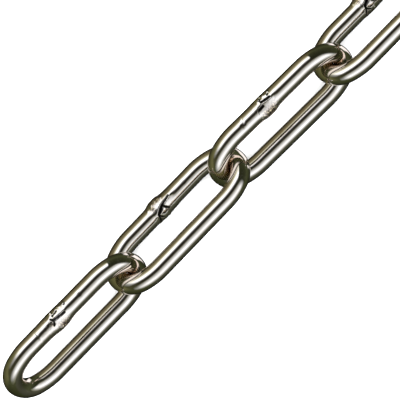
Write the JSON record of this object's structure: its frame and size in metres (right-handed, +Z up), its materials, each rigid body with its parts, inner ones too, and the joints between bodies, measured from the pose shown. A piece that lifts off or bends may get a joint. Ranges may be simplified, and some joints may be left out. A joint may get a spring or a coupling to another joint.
{
  "type": "long-link steel chain",
  "caption": "Straight length of welded long-link steel chain, bright plated, its links free to swing where they cross, for tying, hanging and barriers.",
  "frame": {"origin": "on the floor, under the middle of the run's bounding box", "axes": "+X along the chain from link_1 to link_7, +Y towards the welded legs, +Z up"},
  "size_m": [0.3038, 0.0182, 0.0182],
  "materials": {
    "plated_steel": "bright electroplated steel wire, a little warm, with dull wrinkled welds"
  },
  "bodies": {
    "link_1": {"link_1": "plated_steel"},
    "link_2": {"link_2": "plated_steel"},
    "link_3": {"link_3": "plated_steel"},
    "link_4": {"link_4": "plated_steel"},
    "link_5": {"link_5": "plated_steel"},
    "link_6": {"link_6": "plated_steel"},
    "link_7": {"link_7": "plated_steel"}
  },
  "joints": [
    {"name": "swing_1_2", "type": "hinge", "parent": "link_1", "child": "link_2", "pos_m": [-0.10118, -0.00028, 0.00886], "axis": [-0.0031, 0.6428, 0.766], "range_deg": [-140, 140]},
    {"name": "swing_2_3", "type": "hinge", "parent": "link_2", "child": "link_3", "pos_m": [-0.05949, 0.00024, 0.00839], "axis": [-0.009, 0.7547, -0.6561], "range_deg": [-140, 140]},
    {"name": "swing_3_4", "type": "hinge", "parent": "link_3", "child": "link_4", "pos_m": [-0.01779, -0.00055, 0.00853], "axis": [-0.0116, -0.6895, -0.7242], "range_deg": [-140, 140]},
    {"name": "swing_4_5", "type": "hinge", "parent": "link_4", "child": "link_5", "pos_m": [0.02391, -0.00039, 0.00856], "axis": [0.0018, -0.7349, 0.6782], "range_deg": [-140, 140]},
    {"name": "swing_5_6", "type": "hinge", "parent": "link_5", "child": "link_6", "pos_m": [0.06561, 0.00003, 0.00859], "axis": [-0.0065, 0.682, 0.7314], "range_deg": [-140, 140]},
    {"name": "swing_6_7", "type": "hinge", "parent": "link_6", "child": "link_7", "pos_m": [0.10731, -0.00032, 0.00854], "axis": [0.0053, 0.7373, -0.6756], "range_deg": [-140, 140]}
  ]
}
